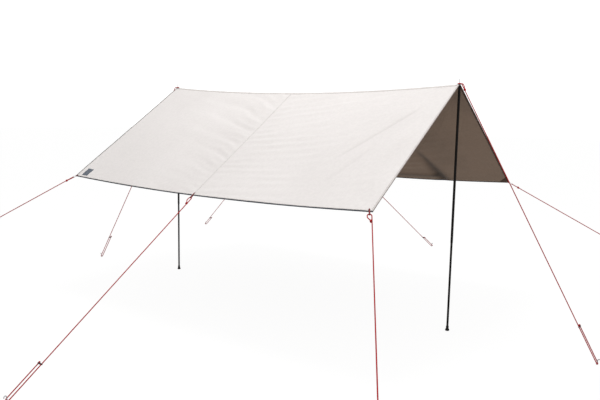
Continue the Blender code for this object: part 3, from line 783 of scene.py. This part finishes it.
def add_seams():
    pieces = []
    for side, side_name in ((-1, "front"), (1, "rear")):
        strip = sweep("centre_seam_%s_fold" % side_name, seam_stations(side, 0.0),
                      flat_section(-SEAM_HALF_WIDTH, SEAM_HALF_WIDTH, SEAM_THICK, SEAM_MIDDLE), [SEAM_CLOTH])
        pieces.append(fix(strip, "seam_tape", "centre_seam_tape_%s" % side_name))
        lip = sweep("centre_seam_%s_lip" % side_name, seam_stations(side, LIP_OUT),
                    flat_section(-LIP_HALF_WIDTH, LIP_HALF_WIDTH, LIP_THICK, LIP_MIDDLE), [SEAM_CLOTH])
        pieces.append(fix(lip, "seam_tape"))
        stations = seam_stations(side, 0.0)
        rows = [(stations, out, TAPE_RAISED) for out in (-SEAM_STITCH_OUT, SEAM_STITCH_OUT)]
        pieces.append(fix(stitches("centre_seam_%s_stitches" % side_name, rows, THREAD), "seam_tape"))
    reach = RIDGE_TAPE_REACH / SLOPE_LENGTH
    tape_xs = spread(-HALF_RIDGE + RIDGE_TAPE_SHORT, HALF_RIDGE - RIDGE_TAPE_SHORT, 141)
    cover = cloth_patch("ridge_tape_cover", tape_xs, spread(-reach, reach, 17), RIDGE_TAPE_THICK,
                        [HEM_CLOTH], raised=TAPE_RAISED)
    pieces.append(fix(cover, "seam_tape", "ridge_tape"))
    rows = []
    for side in (-1, 1):
        share = side * (RIDGE_TAPE_REACH - HEM_STITCH_INSET) / SLOPE_LENGTH
        line = [(cloth_point(x, share), Vector((0, 1, 0)), cloth_normal(x, share)) for x in tape_xs]
        rows.append((line, 0.0, TAPE_RAISED))
    pieces.append(fix(stitches("ridge_tape_stitches", rows, THREAD), "seam_tape"))
    return pieces


LABEL_X = (-1.6785, -1.5955)
LABEL_SHARE = (-0.9805, -0.9195)
LABEL_THICK = 0.0008
LABEL_RAISED = 0.0012
LABEL_STITCH_INSET = 0.003
SHORT_PITCH = 0.006


def add_label():
    patch = cloth_patch("blank_label_cloth", spread(*LABEL_X, 9), spread(*LABEL_SHARE, 11), LABEL_THICK,
                        [LABEL], raised=LABEL_RAISED)
    pieces = [fix(patch, "blank_label", "blank_label_patch")]
    inset = LABEL_STITCH_INSET
    edge_x = (LABEL_X[0] + inset, LABEL_X[1] - inset)
    edge_share = (LABEL_SHARE[0] + inset / SLOPE_LENGTH, LABEL_SHARE[1] - inset / SLOPE_LENGTH)
    rows = []
    for x in edge_x:
        rows.append(([(cloth_point(x, share), Vector((1, 0, 0)), cloth_normal(x, share))
                      for share in spread(*edge_share, 12)], 0.0, LABEL_RAISED))
    for share in edge_share:
        rows.append(([(cloth_point(x, share), Vector((0, 1, 0)), cloth_normal(x, share))
                      for x in spread(*edge_x, 10)], 0.0, LABEL_RAISED))
    pieces.append(fix(stitches("blank_label_stitches", rows, DARK_THREAD, SHORT_PITCH), "blank_label"))
    return pieces


canopy = add_canopy()
trim = add_hems() + add_seams() + add_label()


# ---------------------------------------------------------------- guys
EYE_KNOT_AT = 0.061
RIDGE_KNOT_AT = 0.051
RIDGE_BEND_R = 0.017
RIDGE_BEND_OUT = 0.014
RIDGE_EYE_OUT = 0.0015
PEG_CLEAR = 0.0004


def guy_frame(anchor, peg_spot, hand=1):
    """Axes across, normal and down along a guy, as a matrix, and the guy's run to its peg."""
    down = (peg_spot - anchor).normalized()
    across = Vector((0, 0, 1)).cross(down).normalized() * hand
    normal = down.cross(across)
    return Matrix((across, normal, down)).transposed(), (peg_spot - anchor).length


def half_turn(centre_z, outward, start_side, steps=12):
    out = []
    for step in range(steps + 1):
        angle = math.pi * step / steps
        out.append((start_side * GUY_BEND_R * math.cos(angle), 0.0,
                    centre_z + outward * GUY_BEND_R * math.sin(angle)))
    return out


def peg_end(run, turn):
    """From the runner down one strand, round the peg, up the other strand to its end."""
    runner = run - RUNNER_FROM_PEG
    knot = runner - RUNNER_HALF_THICK - GAP - 2 * KNOT_HALF_LENGTH
    slope = math.asin(-turn.col[2].z)
    bend = run + (PEG_R + GUY_R + PEG_CLEAR) / math.cos(slope - PEG_LEAN) - GUY_BEND_R
    return [(GUY_BEND_R, 0, runner), *half_turn(bend, 1, 1), (-GUY_BEND_R, 0, runner), (-GUY_BEND_R, 0, knot)]


def tube(name, dots, radius, mat, sides=3):
    data = bpy.data.curves.new(name, "CURVE")
    data.dimensions = "3D"
    data.resolution_u = 1
    data.bevel_depth = radius
    data.bevel_resolution = sides
    data.use_fill_caps = True
    data.materials.append(mat)
    line = data.splines.new("POLY")
    line.points.add(len(dots) - 1)
    for place, dot in enumerate(dots):
        line.points[place].co = (*dot, 1.0)
    return link(bpy.data.objects.new(name, data))


KNOT_SIDE = GUY_BEND_R - GUY_R - KNOT_SWELL * GUY_R - 2 * GAP


def corner_dots(run, turn):
    dots = [(KNOT_SIDE, 0, EYE_KNOT_AT), (KNOT_SIDE - 0.002, 0, 0.048),
            (-GUY_BEND_R + 0.002, 0, 0.024), (-GUY_BEND_R, 0, 0.014)]
    dots += half_turn(0.0, -1, -1)
    dots += [(GUY_BEND_R, 0, 0.06)]
    return dots + peg_end(run, turn)


def ridge_path(end, peg_spot):
    level = RIDGE_HEIGHT + GAP + EYELET_FLANGE + GAP + GUY_R + 0.0003
    flat = Vector((peg_spot.x - end * PIN_X, peg_spot.y, 0)).normalized()
    hinge = Vector((end * PIN_X, 0, level)) + flat * RIDGE_BEND_OUT - Vector((0, 0, RIDGE_BEND_R))
    reach = (peg_spot - hinge).dot(flat)
    drop = hinge.z - peg_spot.z
    slope = math.atan2(drop, reach) + math.asin(RIDGE_BEND_R / math.hypot(drop, reach))
    leave = hinge + flat * RIDGE_BEND_R * math.sin(slope) + Vector((0, 0, RIDGE_BEND_R * math.cos(slope)))
    turn, run = guy_frame(leave, peg_spot, -end)
    across = turn.col[0]
    back = turn.transposed()

    def local(spot):
        return tuple(back @ (spot - leave))

    def bent(side):
        out = []
        for step in range(7):
            angle = slope * step / 6
            out.append(hinge + flat * RIDGE_BEND_R * math.sin(angle)
                       + Vector((0, 0, RIDGE_BEND_R * math.cos(angle))) + across * side * GUY_BEND_R)
        return out

    eye = Vector((end * PIN_X, 0, level)) + flat * RIDGE_EYE_OUT
    eye_dots = []
    for step in range(13):
        angle = math.pi * step / 12
        eye_dots.append(eye - flat * GUY_BEND_R * math.sin(angle) - across * GUY_BEND_R * math.cos(angle))
    dots = [(KNOT_SIDE, 0, RIDGE_KNOT_AT), (KNOT_SIDE - 0.002, 0, 0.040), (-GUY_BEND_R + 0.002, 0, 0.018)]
    dots += [local(spot) for spot in reversed(bent(-1))]
    dots += [local(spot) for spot in eye_dots]
    dots += [local(spot) for spot in bent(1)]
    dots += [(GUY_BEND_R, 0, 0.06)]
    return dots + peg_end(run, turn), leave, turn


CORNERS = {
    "far_front": (Vector((-HALF_RIDGE, -HALF_SPAN, EAVE_HEIGHT)), (-CORNER_OUT_X, -CORNER_OUT_Y)),
    "near_front": (plain_point(HALF_RIDGE - NEAR_FRONT_IN, -1.0), (NEAR_FRONT_OUT_X, -NEAR_FRONT_OUT_Y)),
    "near_rear": (Vector((HALF_RIDGE, HALF_SPAN, EAVE_HEIGHT)), (CORNER_OUT_X, CORNER_OUT_Y)),
    "far_rear": (Vector((-HALF_RIDGE, HALF_SPAN, EAVE_HEIGHT)), (-CORNER_OUT_X, CORNER_OUT_Y)),
    "mid_front": (plain_point(SEAM_X, -1.0), (MID_FRONT_OUT_X, -MID_FRONT_OUT_Y)),
    "mid_rear": (plain_point(SEAM_X, 1.0), (MID_REAR_OUT_X, MID_REAR_OUT_Y)),
}


def add_knot(name, centre, turn, around, turns, half_length, thick):
    """A wrapped knot: the rope's end wound round a strand that runs along the guy."""
    steps = int(turns * 14)
    dots = []
    for step in range(steps + 1):
        part = step / steps
        angle = math.tau * turns * part
        swell = 1.0 + 0.14 * math.sin(math.pi * part)
        wound = around * swell
        dots.append(centre + turn @ Vector((wound * math.cos(angle), wound * math.sin(angle),
                                            half_length * (2 * part - 1))))
    return fix(tube(name, dots, thick, GUY_SLEEVE, 2), "red_guy")


def add_guy(label, dots, anchor, turn, upper_knot):
    world = [anchor + turn @ Vector(dot) for dot in dots]
    rope = fix(tube("%s_cord" % label, world, GUY_R, GUY_SLEEVE), "red_guy", "%s_guy" % label)
    upper = anchor + turn @ Vector(((GUY_BEND_R + KNOT_SIDE) / 2, 0, upper_knot))
    tail = anchor + turn @ Vector((dots[-1][0], 0, dots[-1][2] + KNOT_HALF_LENGTH * 0.8))
    knots = [add_knot("%s_eye_knot" % label, upper, turn, GUY_R * 1.75, 4.0, 0.0085, GUY_R * 0.62),
             add_knot("%s_tail_knot" % label, tail, turn, GUY_R * 0.95, 2.5, KNOT_HALF_LENGTH * 0.9,
                      GUY_R * 0.85)]


# ---------------------------------------------------------------- webbing loops at the eaves
STRAP_ON_CLOTH = (0.030, 0.022, 0.014)
LOOP_STITCH_OUT = 0.0042
LOOP_SEWN_STATIONS = 7


def smooth_line(knots, steps):
    """Points along a curve through the knots, each a tuple of vectors carried together."""
    out = []
    last = len(knots) - 1
    for place in range(last):
        four = [knots[max(place - 1, 0)], knots[place], knots[place + 1], knots[min(place + 2, last)]]
        for step in range(steps):
            t = step / steps
            weights = (-0.5 * t + t * t - 0.5 * t ** 3, 1 - 2.5 * t * t + 1.5 * t ** 3,
                       0.5 * t + 2 * t * t - 1.5 * t ** 3, -0.5 * t * t + 0.5 * t ** 3)
            out.append(tuple(sum((knot[k] * weight for knot, weight in zip(four, weights)), Vector())
                             for k in range(2)))
    out.append(knots[-1])
    return out


def add_loop(label, corner, start, turn):
    """A strap sewn over the hem, folded round the guy's eye and sewn back under the hem."""
    side = 1.0 if corner.y > 0 else -1.0
    at_end = abs(corner.x) > 1.0
    end = math.copysign(1.0, corner.x)
    across, down = turn.col[0], turn.col[2]
    half = LOOP_HEIGHT / 2 - LOOP_THICK / 2
    low = LOOP_BAR_FACE + LOOP_THICK / 2
    centre_out = low - half
    back = Vector((-down.x, -down.y)).normalized()

    def on_cloth(distance, raised):
        x = corner.x + back.x * distance
        share = side - side * abs(back.y * distance) / HALF_SPAN
        spot = cloth_point(x, share, raised)
        up = cloth_normal(x, share)
        wide = (across - up * across.dot(up)).normalized()
        return spot, wide

    def on_loop(y, z):
        return start + turn @ Vector((0, y, z)), across.copy()

    clear = HEM_THICK / 2 + LOOP_THICK
    knots = [on_cloth(distance, clear) for distance in STRAP_ON_CLOTH]
    knots += [on_loop(half * 0.75, low - LOOP_LENGTH + 0.006), on_loop(half, centre_out - 0.008)]
    for step in range(7):
        angle = math.pi * step / 6
        knots.append(on_loop(half * math.cos(angle), centre_out + half * math.sin(angle)))
    knots += [on_loop(-half, centre_out - 0.008), on_loop(-half * 0.75, low - LOOP_LENGTH + 0.006)]
    knots += [on_cloth(distance, -clear - SHEET_THICK) for distance in reversed(STRAP_ON_CLOTH)]
    line = smooth_line(knots, 3)
    stations = []
    for place, (spot, wide) in enumerate(line):
        ahead = line[min(place + 1, len(line) - 1)][0] - line[max(place - 1, 0)][0]
        wide = wide.normalized()
        stations.append((spot, wide, wide.cross(ahead.normalized()).normalized()))
    section = flat_section(-LOOP_HALF_WIDTH, LOOP_HALF_WIDTH, LOOP_THICK, 0.0)
    strap = sweep("%s_loop_strap" % label, stations, section, [LOOP_WEBBING])
    fix(strap, "loop_webbing", "%s_loop" % label)
    rows = []
    for sewn in (stations[:LOOP_SEWN_STATIONS], stations[-LOOP_SEWN_STATIONS:]):
        for inset in (-LOOP_STITCH_OUT, LOOP_STITCH_OUT):
            for height in (LOOP_THICK / 2, -LOOP_THICK / 2):
                rows.append((sewn, inset, height))
    fix(stitches("%s_loop_stitches" % label, rows, DARK_THREAD, SHORT_PITCH), "loop_webbing")
    if at_end:
        add_corner_patch(label, end, side)


PATCH_REACH = 0.105
PATCH_INSET = 0.006
PATCH_THICK = 0.0008


def add_corner_patch(label, end, side):
    """The triangle of doubled cloth sewn inside each corner to spread the guy's pull."""
    count = 9
    spots = []
    faces = []
    for a in range(count):
        for b in range(count - a):
            x = end * (HALF_RIDGE - PATCH_INSET - PATCH_REACH * a / (count - 1))
            share = side * (1.0 - (PATCH_INSET + PATCH_REACH * b / (count - 1)) / SLOPE_LENGTH)
            spots.append(cloth_point(x, share, -SHEET_THICK - HEM_THICK / 2 - 0.0002))
    starts = [sum(count - k for k in range(a)) for a in range(count + 1)]
    for a in range(count - 1):
        for b in range(count - a - 1):
            low = starts[a] + b
            high = starts[a + 1] + b
            faces.append((low, high, low + 1))
            if b < count - a - 2:
                faces.append((high, high + 1, low + 1))
    made = add_mesh("%s_corner_patch" % label, spots, faces, [HEM_UNDER_PAINTED_SHADE])
    if made.data.polygons[0].normal.z < 0:
        made.data.flip_normals()
    solidify(made, PATCH_THICK)
    fix(made, "canopy_cloth")


for label, (corner, out) in CORNERS.items():
    peg_spot = Vector((corner.x + out[0], corner.y + out[1], PEG_GRIP))
    down = (peg_spot - corner).normalized()
    start = corner + down * (LOOP_LENGTH - LOOP_BAR_FACE - LOOP_THICK + LOOP_CLEAR)
    turn, run = guy_frame(start, peg_spot)
    add_guy(label, corner_dots(run, turn), start, turn, EYE_KNOT_AT)
    add_loop(label, corner, start, turn)

for end, label, out_x, out_y in ((1, "near_ridge", NEAR_RIDGE_OUT_X, 0.0),
                                 (-1, "far_ridge", FAR_RIDGE_OUT_X, FAR_RIDGE_OUT_Y)):
    peg_spot = Vector((end * (PIN_X + out_x), out_y, PEG_GRIP))
    dots, leave, turn = ridge_path(end, peg_spot)
    add_guy(label, dots, leave, turn, RIDGE_KNOT_AT)


# ---------------------------------------------------------------- looks of the carried-over parts
for pole in ("near", "far"):
    steel = LOOKS["%s_pole_upper_tube" % pole]
    for part, look in (("upper_tube", steel), ("lower_tube", steel), ("lock_bush", LOOKS["nylon"]),
                       ("top_plug", LOOKS["nylon"]), ("foot", LOOKS["rubber"]), ("pin", LOOKS["pin"])):
        give_look("%s_pole_%s" % (pole, part), look)
    give_look("ridge_eyelet_%s" % pole, LOOKS["eyelet"])
    give_look("ridge_tab_%s" % pole, TAB_WEBBING)
for label in list(CORNERS) + ["near_ridge", "far_ridge"]:
    give_look("%s_runner" % label, LOOKS["runner"])
    give_look("%s_peg" % label, LOOKS["peg"])


# ---------------------------------------------------------------- stage and light
FLOOR_GLOW = 0.93
FLOOR_TONE = 0.10
FLOOR_HALF_SIZE = 60.0
BACKDROP_GLOW = 1.2
BACKDROP_RADIUS = 80.0
WHITE = (1, 1, 1)


def glow(name, strength, tone=0.0):
    """White paper that lights itself; tone is how much of the room's light it also takes up."""
    made = bpy.data.materials.new(name)
    made.use_nodes = True
    shader = made.node_tree.nodes["Principled BSDF"]
    shader.inputs["Base Color"].default_value = (tone, tone, tone, 1.0)
    shader.inputs["Roughness"].default_value = 1.0
    shader.inputs["Specular IOR Level"].default_value = 0.0
    shader.inputs["Emission Color"].default_value = (*WHITE, 1.0)
    shader.inputs["Emission Strength"].default_value = strength
    return made


def seen_only(made):
    """The stage is white to look at, and doesn't throw its own light up under the cloth."""
    made.visible_diffuse = False
    made.visible_glossy = False
    made.visible_transmission = False
    made.visible_shadow = False


def add_stage():
    work = bmesh.new()
    bmesh.ops.create_grid(work, x_segments=1, y_segments=1, size=FLOOR_HALF_SIZE)
    mesh = bpy.data.meshes.new("floor")
    work.to_mesh(mesh)
    work.free()
    mesh.materials.append(glow("floor_paper", FLOOR_GLOW, FLOOR_TONE))
    floor = link(bpy.data.objects.new("floor", mesh))
    floor.location.z = -0.0005
    seen_only(floor)
    work = bmesh.new()
    bmesh.ops.create_uvsphere(work, u_segments=48, v_segments=24, radius=BACKDROP_RADIUS)
    mesh = bpy.data.meshes.new("backdrop")
    work.to_mesh(mesh)
    work.free()
    mesh.materials.append(glow("backdrop_paper", BACKDROP_GLOW))
    seen_only(link(bpy.data.objects.new("backdrop", mesh)))


def add_softbox(name, spot, target, size, power, colour=WHITE):
    data = bpy.data.lights.new(name, "AREA")
    data.shape = "DISK"
    data.size = size
    data.energy = power
    data.color = colour
    made = link(bpy.data.objects.new(name, data))
    made.location = spot
    made.rotation_euler = (Vector(target) - Vector(spot)).to_track_quat("-Z", "Y").to_euler()


SKY_LIGHT = 0.67
GROUND_LIGHT = 0.55


def add_sky():
    """Even light from above, and a weaker, warmer light from the ground."""
    world = bpy.data.worlds.new("studio")
    bpy.context.scene.world = world
    world.use_nodes = True
    nodes = world.node_tree.nodes
    links = world.node_tree.links
    place = nodes.new("ShaderNodeTexCoord")
    split = nodes.new("ShaderNodeSeparateXYZ")
    ramp = nodes.new("ShaderNodeValToRGB")
    shift = nodes.new("ShaderNodeMapRange")
    shift.inputs["From Min"].default_value = -0.25
    shift.inputs["From Max"].default_value = 0.35
    ramp.color_ramp.elements[0].color = (GROUND_LIGHT, GROUND_LIGHT * 0.96, GROUND_LIGHT * 0.92, 1.0)
    ramp.color_ramp.elements[1].color = (SKY_LIGHT, SKY_LIGHT, SKY_LIGHT, 1.0)
    links.new(place.outputs["Generated"], split.inputs["Vector"])
    links.new(split.outputs["Z"], shift.inputs["Value"])
    links.new(shift.outputs["Result"], ramp.inputs["Fac"])
    links.new(ramp.outputs["Color"], nodes["Background"].inputs["Color"])
    nodes["Background"].inputs["Strength"].default_value = 1.0


bpy.context.scene.view_settings.view_transform = "Standard"
add_stage()
add_sky()
add_softbox("key_softbox", (0.5, -0.9, 7.2), (-0.1, -0.9, 1.6), 2.2, 145.0, (1.0, 0.99, 0.98))
add_softbox("front_softbox", (4.5, -4.5, 3.5), (0.3, -0.5, 1.6), 2.5, 34.0)
